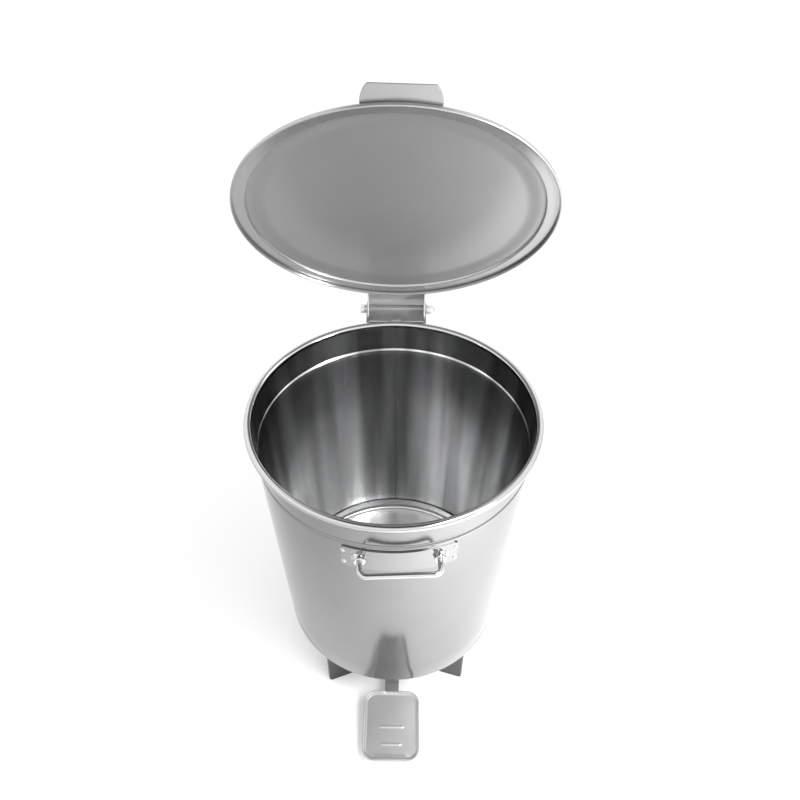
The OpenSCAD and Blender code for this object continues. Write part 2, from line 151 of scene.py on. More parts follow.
def about_z(angle):
    """A turn of angle degrees about the bin's axis."""
    return Matrix.Rotation(math.radians(angle), 4, "Z")


def at(x, y, z):
    """A shift."""
    return Matrix.Translation((x, y, z))


LID_TURN = about_x(-LID_OPEN, PIN_Y, PIN_Z)
PEDAL_TURN = at(0, AXLE_Y, AXLE_Z) @ Matrix.Rotation(math.radians(PEDAL_DIP), 4, "X")
ALONG_X = Matrix.Rotation(math.radians(90), 4, "Y")


# ---- Outlines: lists of 2-D points ----

def arc(cx, cy, r, a0, a1, n=8):
    """Points of an arc round cx, cy, from angle a0 to a1 in degrees."""
    turns = [math.radians(a0 + (a1 - a0) * k / n) for k in range(n + 1)]
    return [(cx + r * math.cos(a), cy + r * math.sin(a)) for a in turns]


def rounded(points, radii, n=6):
    """An open line whose inner corners are rounded, with one radius for each of them."""
    line = [Vector(points[0])]
    for before, corner, after, r in zip(points, points[1:], points[2:], radii):
        c = Vector(corner)
        u = (Vector(before) - c).normalized()
        v = (Vector(after) - c).normalized()
        half = u.angle(v) / 2
        start, end = c + u * r / math.tan(half), c + v * r / math.tan(half)
        centre = c + (u + v).normalized() * r / math.sin(half)
        a0 = math.atan2(*(start - centre).yx)
        turn = (math.atan2(*(end - centre).yx) - a0 + math.pi) % (2 * math.pi) - math.pi
        line += [Vector(p) for p in arc(*centre, r, math.degrees(a0), math.degrees(a0 + turn), n)]
    return line + [Vector(points[-1])]


def thickened(line, t, round_start=True, round_end=True):
    """The closed outline of a sheet of thickness t along an open line."""
    line = [Vector(p) for p in line]
    legs = [(b - a).normalized() for a, b in zip(line, line[1:])]
    sides = []
    for before, after in zip([legs[0]] + legs, legs + [legs[-1]]):
        mean = (before + after).normalized()
        sides.append(Vector((-mean.y, mean.x)) / max(mean.dot(before), 0.3) * t / 2)
    left = [p + s for p, s in zip(line, sides)]
    right = [p - s for p, s in zip(line, sides)]

    def cap(centre, ahead, side):
        return [centre + (ahead * math.sin(a) + side * math.cos(a)) * t / 2
                for a in (math.pi * k / 6 for k in range(1, 6))]

    end = cap(line[-1], legs[-1], sides[-1].normalized()) if round_end else []
    start = cap(line[0], -legs[0], -sides[0].normalized()) if round_start else []
    return left + end + right[::-1] + start


def round_rect(w, l, r, n=8):
    """A rounded rectangle round the origin."""
    corners = [(1, 1, 0), (-1, 1, 90), (-1, -1, 180), (1, -1, 270)]
    return [p for sx, sy, a in corners for p in arc(sx * (w / 2 - r), sy * (l / 2 - r), r, a, a + 90, n)]


# ---- Parts: (points, faces) in millimetres ----

def lathe(outline, steps=192):
    """A closed outline of (radius, height) turned round the Z axis."""
    points, faces, rings = [], [], []
    for r, z in outline:
        if r < 1e-6:
            rings.append([len(points)] * steps)
            points.append((0, 0, z))
            continue
        rings.append(list(range(len(points), len(points) + steps)))
        points += [(r * math.cos(2 * math.pi * k / steps), r * math.sin(2 * math.pi * k / steps), z)
                   for k in range(steps)]
    for a, b in zip(rings, rings[1:] + rings[:1]):
        for k in range(steps):
            quad = [a[k], a[(k + 1) % steps], b[(k + 1) % steps], b[k]]
            face = [i for j, i in enumerate(quad) if i != quad[j - 1]]
            if len(face) > 2:
                faces.append(face)
    return points, faces


def prism(outline, depth):
    """A closed outline pushed up by depth."""
    n = len(outline)
    points = [(x, y, 0) for x, y in outline] + [(x, y, depth) for x, y in outline]
    faces = [list(range(n))[::-1], list(range(n, 2 * n))]
    faces += [[k, (k + 1) % n, n + (k + 1) % n, n + k] for k in range(n)]
    return points, faces


def tube(line, radius, sides=16):
    """A round bar along a 3-D line; radius is a number, or a function of the place from 0 to 1."""
    line = [Vector(p) for p in line]
    size = radius if callable(radius) else lambda place: radius
    side = (line[1] - line[0]).normalized().orthogonal()
    points, faces = [], []
    for k, p in enumerate(line):
        ahead = (line[min(k + 1, len(line) - 1)] - line[max(k - 1, 0)]).normalized()
        side = (side - ahead * side.dot(ahead)).normalized()
        up = ahead.cross(side)
        r = size(k / (len(line) - 1))
        turns = [2 * math.pi * j / sides for j in range(sides)]
        points += [p + (side * math.cos(a) + up * math.sin(a)) * r for a in turns]
    for k in range(len(line) - 1):
        a, b = k * sides, (k + 1) * sides
        faces += [[a + j, a + (j + 1) % sides, b + (j + 1) % sides, b + j] for j in range(sides)]
    last = (len(line) - 1) * sides
    faces += [list(range(sides))[::-1], list(range(last, last + sides))]
    return points, faces


def moved(part, *steps):
    """A part after the given moves, the last one first."""
    matrix = Matrix.Identity(4)
    for step in steps:
        matrix = matrix @ step
    return [matrix @ Vector(p) for p in part[0]], part[1]


def side_plate(outline, x0, t):
    """A plate of thickness t from x0, from an outline in Y and Z."""
    return moved(prism(outline, t), at(x0, 0, 0), UPRIGHT)


def x_bar(x0, x1, y, z, r, edge=0.5, sides=48):
    """A round bar along X with chamfered ends."""
    outline = [(0, 0), (r - edge, 0), (r, edge), (r, x1 - x0 - edge), (r - edge, x1 - x0), (0, x1 - x0)]
    return moved(lathe(outline, sides), at(x0, y, z), ALONG_X)


def x_ring(x0, x1, y, z, r, bore, edge=0.3, sides=48):
    """A washer or sleeve along X with rounded outer edges."""
    w = x1 - x0
    outline = [(bore, 0), (r - edge, 0), (r, edge), (r, w - edge), (r - edge, w), (bore, w)]
    return moved(lathe(outline, sides), at(x0, y, z), ALONG_X)


def wrapped(outline, t, turn, height, gap=0.05, slice_w=3.0):
    """A flat plate bent onto the tapered wall; its outline is in distance round the wall and height."""
    bm = bmesh.new()
    points, faces = prism(outline, t)
    verts = [bm.verts.new(p) for p in points]
    for face in faces:
        bm.faces.new([verts[i] for i in face])
    reach = max(abs(x) for x, y in outline)
    for k in range(-int(reach / slice_w), int(reach / slice_w) + 1):
        geom = bm.verts[:] + bm.edges[:] + bm.faces[:]
        bmesh.ops.bisect_plane(bm, geom=geom, plane_co=(k * slice_w, 0, 0), plane_no=(1, 0, 0))
    bent = []
    for v in bm.verts:
        z = height + v.co.y
        r = wall_radius(z) + gap + v.co.z
        a = math.radians(turn) + v.co.x / wall_radius(height)
        bent.append((r * math.cos(a), r * math.sin(a), z))
    bm.verts.index_update()
    result = bent, [[v.index for v in f.verts] for f in bm.faces]
    bm.free()
    return result


def weld(line, r=1.3, ripple=2.2):
    """A weld bead with its ripples along a 3-D line."""
    line = [Vector(p) for p in line]
    dense = [line[0]]
    for a, b in zip(line, line[1:]):
        n = max(2, int((b - a).length / 0.7))
        dense += [a.lerp(b, (k + 1) / n) for k in range(n)]
    length = sum((b - a).length for a, b in zip(dense, dense[1:]))

    def size(place):
        fade = min(1.0, 0.35 + 12 * min(place, 1 - place))
        return r * fade * (0.88 + 0.12 * math.cos(2 * math.pi * place * length / ripple))

    return tube(dense, size, 10)


# ---- Materials ----

def add(tree, kind, values=None, **settings):
    """A shader node with its settings and socket values; a value may be another node's socket."""
    made = tree.nodes.new(kind)
    for name, value in settings.items():
        setattr(made, name, value)
    for name, value in (values or {}).items():
        if isinstance(value, bpy.types.NodeSocket):
            tree.links.new(value, made.inputs[name])
        else:
            made.inputs[name].default_value = value
    return made


def spread(tree, source, low, high, start=0.3, end=0.7):
    """The source's values from start to end, taken to low to high."""
    values = {"Value": source, "From Min": start, "From Max": end, "To Min": low, "To Max": high}
    return add(tree, "ShaderNodeMapRange", values).outputs["Result"]


def noise(tree, place, scale, detail, roughness=0.5):
    """The values of a noise at the given place."""
    values = {"Vector": place, "Scale": scale, "Detail": detail, "Roughness": roughness}
    return add(tree, "ShaderNodeTexNoise", values).outputs["Fac"]


def metal(name, tone, rough, grain, turn=(0, 0, 0), lines=0.05, smudge=0.03, wave=0.0, shade=0.04,
          reflection_streak=0.0, mirror=1.0):
    """Bare steel; grain is the brush lines' frequency along X, Y and Z.

    Lines and smudge vary it finely and broadly, and wave bends its mirror image; the streak setting paints
    upright bands of lighter and darker tone into the colour as a painted reflection of vertical streaks of
    light.
    """
    material = bpy.data.materials.new(name)
    material.use_nodes = True
    tree = material.node_tree
    principled = tree.nodes["Principled BSDF"]
    place = add(tree, "ShaderNodeTexCoord").outputs["Object"]
    brushed = add(tree, "ShaderNodeMapping", {"Vector": place, "Rotation": turn, "Scale": grain})
    brush = noise(tree, brushed.outputs["Vector"], 1.0, 3.0)
    broad = noise(tree, place, 11.0, 5.0, 0.6)
    specks = noise(tree, place, 420.0, 2.0)
    gloss = add(tree, "ShaderNodeMath", {
        0: spread(tree, brush, rough - lines, rough + lines),
        1: spread(tree, broad, -smudge, smudge),
    }, operation="ADD", use_clamp=True)
    colour = add(tree, "ShaderNodeMix", {
        "Factor": spread(tree, broad, 0.0, 1.0),
        "A": (*[c * (1 - shade) for c in tone], 1),
        "B": (*[min(1.0, c * (1 + shade)) for c in tone], 1),
    }, data_type="RGBA")
    fleck = add(tree, "ShaderNodeMix", {
        "Factor": spread(tree, specks, 0.0, 0.12, 0.62, 0.75),
        "A": colour.outputs["Result"],
        "B": (*[c * 0.7 for c in tone], 1),
    }, data_type="RGBA")
    # Painted reflection: upright bands that lighten and darken the colour, standing in for vertical streaks
    # of reflected light.
    if reflection_streak:
        upright = add(tree, "ShaderNodeMapping", {"Vector": place, "Scale": (24, 24, 0.8)})
        reflection_bands = noise(tree, upright.outputs["Vector"], 1.0, 1.5)
        level = spread(tree, reflection_bands, 1 - reflection_streak, 1 + reflection_streak, 0.36, 0.64)
        fleck = add(tree, "ShaderNodeMix", {
            "Factor": 1.0, "A": fleck.outputs["Result"], "B": level,
        }, data_type="RGBA", blend_type="MULTIPLY")
    fine = add(tree, "ShaderNodeBump", {"Height": brush, "Strength": 0.25, "Distance": 2e-5})
    normal = fine.outputs["Normal"]
    if wave:
        normal = add(tree, "ShaderNodeBump", {
            "Height": noise(tree, place, 16.0, 1.0), "Strength": 1.0, "Distance": wave, "Normal": normal,
        }).outputs["Normal"]
    tree.links.new(fleck.outputs["Result"], principled.inputs["Base Color"])
    tree.links.new(gloss.outputs["Value"], principled.inputs["Roughness"])
    tree.links.new(normal, principled.inputs["Normal"])
    principled.inputs["Metallic"].default_value = mirror
    return material


def nylon(name):
    """Moulded black nylon with a fine texture."""
    material = bpy.data.materials.new(name)
    material.use_nodes = True
    tree = material.node_tree
    principled = tree.nodes["Principled BSDF"]
    place = add(tree, "ShaderNodeTexCoord").outputs["Object"]
    skin = noise(tree, place, 900.0, 2.0)
    worn = noise(tree, place, 60.0, 4.0)
    colour = add(tree, "ShaderNodeMix", {
        "Factor": worn, "A": (0.012, 0.012, 0.013, 1), "B": (0.035, 0.035, 0.038, 1),
    }, data_type="RGBA")
    bump = add(tree, "ShaderNodeBump", {"Height": skin, "Strength": 0.4, "Distance": 1e-4})
    tree.links.new(colour.outputs["Result"], principled.inputs["Base Color"])
    tree.links.new(spread(tree, worn, 0.42, 0.6), principled.inputs["Roughness"])
    tree.links.new(bump.outputs["Normal"], principled.inputs["Normal"])
    return material


def greys(level):
    """A neutral steel tone, very slightly cool."""
    return (level * 0.995, level, level * 1.005)


ROUND_GRAIN = (5, 5, 1600)
UP_GRAIN = (260, 260, 3)
FLAT_GRAIN = (5, 1600, 1600)
LID_TILT = (math.radians(LID_OPEN), 0, 0)

FINISH = {
    # The outside, inside and rim of the wall are one steel sheet in three tones: the outside darker as
    # painted shade, the inside and the rim lighter as painted light. The inside also carries painted
    # reflection streaks.
    "wall": (metal("wall_steel_painted_shade", greys(0.235), 0.15, ROUND_GRAIN, lines=0.015, smudge=0.01, wave=2e-4),
             "brushed_steel"),
    "inside": (metal("inside_steel_painted_light", greys(0.5), 0.24, UP_GRAIN, lines=0.015, wave=2e-4, reflection_streak=0.5),
               "brushed_steel"),
    "rim": (metal("rim_steel_painted_light", greys(0.46), 0.12, ROUND_GRAIN, lines=0.02), "brushed_steel"),
    "lid": (metal("lid_steel", greys(0.24), 0.3, FLAT_GRAIN, LID_TILT, lines=0.02, smudge=0.01, shade=0.02,
                  mirror=0.55), "brushed_steel"),
    "band": (metal("band_steel", greys(0.36), 0.24, FLAT_GRAIN, LID_TILT, lines=0.02, mirror=0.8),
             "brushed_steel"),
    # The bottom's tone is raised far above the other steel as painted light on the bin's floor.
    "pan": (metal("pan_steel_painted_light", greys(0.85), 0.2, FLAT_GRAIN), "polished_steel"),
    "plate": (metal("plate_steel", greys(0.28), 0.08, (40, 40, 40), lines=0.01, wave=4e-4),
              "polished_steel"),
    "polished": (metal("polished_steel", greys(0.5), 0.08, (40, 40, 40), lines=0.02, wave=4e-4),
                 "polished_steel"),
    "satin": (metal("satin_steel", greys(0.48), 0.34, FLAT_GRAIN, lines=0.03, mirror=0.65), "satin_steel"),
    "tread": (metal("tread_steel", greys(0.35), 0.32, FLAT_GRAIN, lines=0.02, mirror=0.5), "satin_steel"),
    "bar": (metal("bar_steel", greys(0.25), 0.32, FLAT_GRAIN, lines=0.03, mirror=0.6), "satin_steel"),
    # The feet's near-black tone is painted shade, for the shade under the bin.
    "foot": (metal("foot_steel_painted_shade", greys(0.065), 0.2, ROUND_GRAIN), "satin_steel"),
    "seam": (metal("seam_steel", greys(0.08), 0.4, (200, 200, 200)), "satin_steel"),
    "zinc": (metal("zinc_steel", greys(0.48), 0.36, (60, 60, 60), shade=0.1), "zinc_steel"),
    "weld": (metal("weld_steel", greys(0.34), 0.4, (200, 200, 200), shade=0.15), "satin_steel"),
    "nylon": (nylon("black_nylon"), "black_nylon"),
}


# ---- Pieces ----

def piece(name, parts, finish, body, stands_for=(), bevel=0.0, sharp=32, regions=()):
    """One mesh from parts, riding on a CAD body, in place of the CAD nodes that it stands for.

    Regions are further finishes, each with a test of a face that takes it.
    """
    points, faces = [], []
    for part_points, part_faces in parts:
        start = len(points)
        points += [Vector(p) * MM for p in part_points]
        faces += [[start + i for i in face] for face in part_faces]
    mesh = bpy.data.meshes.new(name)
    mesh.from_pydata(points, [], faces)
    bm = bmesh.new()
    bm.from_mesh(mesh)
    bmesh.ops.recalc_face_normals(bm, faces=bm.faces)
    bm.to_mesh(mesh)
    bm.free()
    mesh.shade_smooth()
    mesh.set_sharp_from_angle(angle=math.radians(sharp))
    obj = bpy.data.objects.new(name, mesh)
    bpy.context.scene.collection.objects.link(obj)
    material, slot = FINISH[finish]
    mesh.materials.append(material)
    for index, (other, test) in enumerate(regions, 1):
        mesh.materials.append(FINISH[other][0])
        for face in mesh.polygons:
            if test(face):
                face.material_index = index
    if bevel:
        edge = obj.modifiers.new("edge", "BEVEL")
        edge.width = bevel * MM
        edge.segments = 3
        edge.limit_method = "ANGLE"
        edge.angle_limit = math.radians(40)
        edge.harden_normals = True
    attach(obj, body)
    if stands_for:
        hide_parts(*stands_for)


def make_wall():
    """The tapered wall with its groove, rolled over a wire at the rim."""
    zs = [FOOT_H + 0.5, FOOT_H + 40, FOOT_H + 120, FOOT_H + 240, SWAGE_Z - SWAGE_H / 2 - 8]
    zs += [SWAGE_Z + SWAGE_H * (k / 24 - 0.5) for k in range(25)]
    zs += [SWAGE_Z + SWAGE_H / 2 + 8, RIM_Z - 13]
    line = [(wall_radius(z) - SHEET / 2 - groove(z), z) for z in zs]
    curl_r = BEAD_R - SHEET / 2
    neck = [(BEAD_C - curl_r - 0.3, RIM_Z - 7), (BEAD_C - curl_r - 0.1, RIM_Z - 3)]
    curl = arc(BEAD_C, RIM_Z, curl_r, 180, -136, 40)
    outline = thickened(line + neck + curl, SHEET)

    def on_rim(face):
        return face.center.z > (RIM_Z - BEAD_R + 0.5) * MM

    def inside(face):
        return face.normal.xy.dot(face.center.xy) < 0 and not on_rim(face)

    # The inside and rim regions take lighter tones than the outside of the same sheet, as painted light.
    regions = [("inside", inside), ("rim", on_rim)]
    piece("bin_wall", [lathe(outline, 256)], "wall", "bin", ["body_shell"], regions=regions)


def make_wall_seam():
    """The inner face of the wall's upright weld at the back, ground nearly flush."""
    zs = [FOOT_H + 4 + k * 4 for k in range(int((RIM_Z - FOOT_H - 16) / 4))]
    inner = [(0, wall_radius(z) - SHEET - groove(z) - 0.02, z) for z in zs]
    parts = [tube(inner, lambda place: 0.6 - 0.4 * place, 8)]
    piece("wall_seam", parts, "seam", "bin")


def make_bottom():
    """The pressed bottom, its edge turned up inside the wall."""
    t = 1.5
    bend = 9 - t / 2
    edge = wall_radius(FOOT_H) - SHEET - 0.1 - t / 2
    corner = (edge, FOOT_H + t / 2)
    line = rounded([(0, corner[1]), corner, (edge, FOOT_H + 20 - t / 2)], [bend], 10)
    outline = thickened(line, t, round_start=False)
    piece("bottom_pan", [lathe([(max(r, 0), z) for r, z in outline], 192)], "pan", "bin", ["bottom_plate"])


def make_feet():
    """Four feet folded from sheet into a V, with a closed sole and a weld under the bottom."""
    half_fold, bend = math.radians(33), 5.0
    t = PLATE_T
    back = (-FOOT_WING * math.cos(half_fold), FOOT_WING * math.sin(half_fold))
    other = (back[0], -back[1])
    apex = (bend / math.sin(half_fold) - bend, 0)
    line = rounded([back, apex, other], [bend - t / 2], 10)
    inner = [(x - t, y * 0.985) for x, y in rounded([back, (apex[0] - t, 0), other], [bend - t], 8)]
    weld_line = [(x - 1.2, y, FOOT_H - 1.2) for x, y in line]
    for name, turn in (("front_left", 230), ("front_right", 310), ("rear_left", 130), ("rear_right", 50)):
        place = about_z(turn + FOOT_SKEW) @ at(BASE_R - bend, 0, 0)
        parts = [moved(prism(thickened(line, t), FOOT_H), place), moved(prism(inner, t), place)]
        piece("foot_sheet_" + name, parts, "foot", "bin", ["foot_" + name], bevel=0.5)
        piece("foot_weld_" + name, [moved(weld(weld_line), place)], "weld", "bin")


def make_handle():
    """The lifting handle: a plate bent to the wall, two collars, a round grip and four rivets."""
    plate = round_rect(147, 40, 5)
    plate_z = HANDLE_Z - 2
    front = 270 + HANDLE_TURN
    swing = about_z(HANDLE_TURN)
    parts = [wrapped(plate, PLATE_T, front, plate_z)]
    piece("grip_plate", parts, "plate", "bin", ["handle_plate"], bevel=0.7)
    wall_r = wall_radius(HANDLE_Z)
    half = HANDLE_HALF
    flat = [(half, -wall_r + 2), (half, GRIP_Y + GRIP_BEND + 4)]
    flat += arc(half - GRIP_BEND, GRIP_Y + GRIP_BEND, GRIP_BEND, 0, -90, 10)
    right = [Vector((x, y, HANDLE_Z)) for x, y in flat]
    left = [Vector((-x, y, HANDLE_Z)) for x, y in flat]
    bar = moved(tube(right + left[::-1], GRIP_R, 32), swing)
    piece("grip_bar", [bar], "polished", "bin", ["handle_bar"])
    skirt = [(GRIP_R, 0), (10.5, 0), (8.6, 1.4), (7.5, 3.2), (7.5, 7.2), (6.7, 8.2), (GRIP_R, 8.2)]
    collars = []
    for side in (-1, 1):
        root = math.sqrt(wall_r ** 2 - half ** 2) + PLATE_T - 1.5
        turned = swing @ at(side * half, -root, HANDLE_Z) @ Matrix.Rotation(math.radians(90), 4, "X")
        collars.append(moved(lathe(skirt, 48), turned))
    piece("grip_collars", collars, "polished", "bin", ["handle_collars"], bevel=0.4)
    heads = []
    dome = [(0, 1.7), (1.2, 1.6), (2.3, 1.2), (3.1, 0.6), (3.4, 0), (3.4, -0.6), (0, -0.6)]
    for side in (-1, 1):
        for dz in (-RIVET_RISE, RIVET_RISE):
            z = plate_z + dz
            turn = about_z(front + side * math.degrees(math.asin(RIVET_X / wall_r)))
            out = turn @ at(wall_radius(z) + PLATE_T, 0, z) @ ALONG_X
            back = turn @ at(wall_radius(z) - SHEET, 0, z) @ ALONG_X @ Matrix.Rotation(math.pi, 4, "X")
            heads += [moved(lathe(dome, 32), out), moved(lathe(dome, 32), back)]
    piece("grip_rivets", heads, "polished", "bin", ["handle_rivets"])


def make_hinge_bracket():
    """The bracket on the wall: two ears, a web between them and flanges bent to the wall."""
    z0, z1 = RIM_Z - BRACKET_LOW, RIM_Z - BRACKET_HIGH
    ear = [(wall_radius(z0 + 8) - 6, z0 + 8), (WEB_Y + 5, z0 + 8), (PIN_Y + 12, PIN_Z - 44)]
    ear += arc(PIN_Y, PIN_Z, 12, 0, 140, 16) + [(WEB_Y, z1 + 2), (WEB_Y, z1), (wall_radius(z1) - 6, z1)]
    parts = [side_plate(ear, x, PLATE_T) for x in (-EAR_GAP / 2 - PLATE_T, EAR_GAP / 2)]
    web = [(-EAR_GAP / 2, z0 + 8), (EAR_GAP / 2, z0 + 8), (EAR_GAP / 2, z1), (-EAR_GAP / 2, z1)]
    stand = Matrix.Rotation(math.radians(90), 4, "X")
    parts.append(moved(prism(web, PLATE_T), at(0, WEB_Y + PLATE_T, 0), stand))
    beads = []
    for side in (-1, 1):
        near, far = side * (EAR_GAP / 2 + 1), side * (EAR_GAP / 2 + 18)
        flange = [(near, z0), (far, z0), (far, z1), (near, z1)]
        flange = [(x, z - (z0 + z1) / 2) for x, z in flange][::side]
        parts.append(wrapped(flange, PLATE_T, 90, (z0 + z1) / 2))
        a = far / wall_radius((z0 + z1) / 2)
        for k in range(3):
            zs = [z0 + 14 + 42 * k + 1.5 * j for j in range(11)]
            out = [wall_radius(z) + 0.6 for z in zs]
            beads.append(weld([(r * math.sin(a), r * math.cos(a), z) for r, z in zip(out, zs)]))
    piece("hinge_plate", parts, "satin", "bin", ["hinge_bracket"], bevel=0.5)
    piece("hinge_welds", beads, "weld", "bin")


def make_hinge_pin():
    """The hinge bolt with its two washers and dome nut."""
    side = EAR_GAP / 2 + PLATE_T
    head_x = -side - 3.8
    hexagon = [(7.5 * math.cos(math.radians(60 * k + 30)), 7.5 * math.sin(math.radians(60 * k + 30)))
               for k in range(6)]
    head = moved(prism(hexagon, 6), at(head_x - 6, PIN_Y, PIN_Z), ALONG_X)
    shank = x_bar(head_x - 1, side + 9, PIN_Y, PIN_Z, PIN_R)
    piece("pivot_bolt", [head, shank], "polished", "bin", ["hinge_bolt"], bevel=0.6)
    washers = [x_ring(side, side + 1.6, PIN_Y, PIN_Z, 8, PIN_R + 0.2),
               x_ring(-side - 1.6, -side, PIN_Y, PIN_Z, 8, PIN_R + 0.2)]
    piece("pivot_washers", washers, "polished", "bin", ["hinge_washers"])
    nut_x = side + 1.6
    dome = [(0, 12)] + [(6.2 * math.sin(a), 5.8 + 6.2 * math.cos(a))
                        for a in (math.radians(15 * k) for k in range(1, 6))] + [(6.4, 5.5), (0, 5.5)]
    nut = [moved(prism(hexagon, 6.5), at(nut_x, PIN_Y, PIN_Z), ALONG_X),
           moved(lathe(dome, 48), at(nut_x, PIN_Y, PIN_Z), ALONG_X)]
    piece("pivot_dome_nut", nut, "polished", "bin", ["hinge_dome_nut"], bevel=0.6)


def make_lid():
    """The pressed lid with its skirt hemmed inwards, step and shallow dish."""
    mid = SHEET / 2
    skirt_r = LID_R - 0.6
    slope = STEP_R - 3.5 - CROWN_R
    crown = [(r, dome_z(r) + mid) for r in [0, 60, 110, 140] + [CROWN_R + slope * k / 12 for k in range(13)]]
    wall = rounded([(skirt_r - 1.6, RIM_Z + 3.4), (skirt_r - 1.6, RIM_Z + 0.6), (skirt_r, RIM_Z + 0.6),
                    (skirt_r, LID_SEAT_Z + mid), (STEP_R, LID_SEAT_Z + mid), (STEP_R - 1.0, crown[-1][1]),
                    crown[-1]], [0.75, 0.75, 2.2, 1.0, 0.6], 6)
    line = crown + list(reversed(wall))[1:]
    outline = [(max(r, 0), z) for r, z in thickened(line, SHEET, round_start=False)]
    closed = LID_TURN.inverted()

    def on_band(face):
        return (closed @ (face.center / MM)).xy.length > STEP_R - 1.6

    piece("lid_pressing", [moved(lathe(outline, 256), LID_TURN)], "lid", "lid", ["lid_shell"],
          regions=[("band", on_band)])


def make_lid_tab():
    """The lift tab, a bent plate that narrows in a curve towards its rounded front edge."""
    root_w, tip_w, root, corner = 87, 73, 14, 1.2
    rise = math.radians(13)
    reach = 21.2 * math.cos(rise)
    side = [(tip_w / 2 + (root_w - tip_w) / 2 * (1 - (k / 10) ** 2), -reach * k / 10) for k in range(10)]
    tip = arc(tip_w / 2 - corner, -reach + corner, corner, 0, -90, 5)
    right = [(root_w / 2, root - 0.5), (root_w / 2, root / 2)] + side + tip
    outline = right + [(-x, y) for x, y in reversed(right)]
    points, faces = prism(outline, 1.5)
    bm = bmesh.new()
    verts = [bm.verts.new(p) for p in points]
    for face in faces:
        bm.faces.new([verts[i] for i in face])
    for y in (3, 1.5, 0, -1.5, -3):
        bmesh.ops.bisect_plane(bm, geom=bm.verts[:] + bm.edges[:] + bm.faces[:],
                               plane_co=(0, y, 0), plane_no=(0, 1, 0))
    lifted = []
    for v in bm.verts:
        x, y, z = v.co
        if y < 3:
            out = min(3 - y, 6)
            z += out * out / 12 * math.tan(rise) + max(-3 - y, 0) * math.tan(rise)
        lifted.append((x, y, z))
    bm.verts.index_update()
    part = lifted, [[v.index for v in f.verts] for f in bm.faces]
    bm.free()
    place = LID_TURN @ about_z(TAB_TURN) @ at(0, -RIM_R - 6.5, LID_TOP_Z)
    piece("lift_tab", [moved(part, place)], "lid", "lid", ["lid_tab"], bevel=0.5)
    beads = [weld([(x, root - 0.6, 0.6) for x in (x0, x0 + 16)]) for x0 in (-38, -8, 22)]
    piece("lift_tab_welds", [moved(b, place) for b in beads], "weld", "lid")


def make_lid_bracket():
    """The bracket on the lid: two cheeks, a saddle that follows the lid, and a front apron."""
    closed_a = math.radians(LID_OPEN - CRANK_LOW - 90)
    crank = (PIN_Y + CRANK_R * math.sin(closed_a), PIN_Z - CRANK_R * math.cos(closed_a))
    back = PIN_Y + 15
    top = LID_TOP_Z + PLATE_T
    cheek = [(back, top), (LID_R - 2, top), (LID_R - 2, PIN_Z + 2)]
    cheek += arc(crank[0], crank[1], 6, 200, 300, 8) + [(PIN_Y + 14, PIN_Z - 12)]
    parts = [side_plate(cheek, x, PLATE_T) for x in (-CHEEK_X, CHEEK_X - PLATE_T)]
    roof = [(-CHEEK_X, STEP_R + 1), (CHEEK_X, STEP_R + 1), (CHEEK_X, back), (-CHEEK_X, back)]
    parts.append(moved(prism(roof, PLATE_T), at(0, 0, LID_TOP_Z)))
    apron = [(-CHEEK_X + 1, -28), (CHEEK_X - 1, -28), (CHEEK_X - 1, 7.5), (-CHEEK_X + 1, 7.5)]
    upright = Matrix.Rotation(math.radians(90), 4, "X")
    stand = at(0, PIN_Y, PIN_Z) @ Matrix.Rotation(math.radians(LID_OPEN), 4, "X") @ at(0, -9, 0) @ upright
    parts.append(moved(prism(apron, PLATE_T), stand))
    parts = [moved(p, LID_TURN) for p in parts]
    piece("lid_hinge_box", parts, "satin", "lid", ["lid_bracket"], bevel=0.5)
    piece("lid_saddle", [moved(saddle(), LID_TURN)], "satin", "lid", bevel=0.5)
    tube_half = CHEEK_X - PLATE_T - 0.2
    sleeve = [x_ring(-tube_half, tube_half, PIN_Y, PIN_Z, 6.5, PIN_R + 0.05)]
    piece("pivot_sleeve", sleeve, "zinc", "lid", ["hinge_sleeve"])
    crank_y, crank_z = (crank_lo.y + crank_hi.y) / 2, (crank_lo.z + crank_hi.z) / 2
    pin = [x_bar(crank_lo.x, crank_hi.x, crank_y, crank_z, 3)]
    piece("crank_bar", pin, "polished", "lid", ["crank_pin"])


def saddle():
    """The part of the lid bracket that lies on the lid's dished back."""
    n_r, n_x = 14, 12
    points, faces = [], []
    for level in (0.05, PLATE_T):
        for j in range(n_x + 1):
            x = CHEEK_X * (2 * j / n_x - 1)
            for k in range(n_r + 1):
                r = CROWN_R - 6 + (STEP_R + 4 - CROWN_R + 6) * k / n_r
                z = LID_TOP_Z if r > STEP_R - 1 else dome_z(r) + SHEET
                points.append((x, math.sqrt(r * r - x * x), z + level))
    row, layer = n_r + 1, (n_r + 1) * (n_x + 1)
    for j in range(n_x):
        for k in range(n_r):
            a = j * row + k
            faces.append([a, a + row, a + row + 1, a + 1])
            faces.append([layer + a, layer + a + 1, layer + a + row + 1, layer + a + row])
    for j in range(n_x):
        for a in (j * row, j * row + n_r):
            faces.append([a, a + row, layer + a + row, layer + a])
    for k in range(n_r):
        for a in (k, n_x * row + k):
            faces.append([a, a + 1, layer + a + 1, layer + a])
    return points, faces


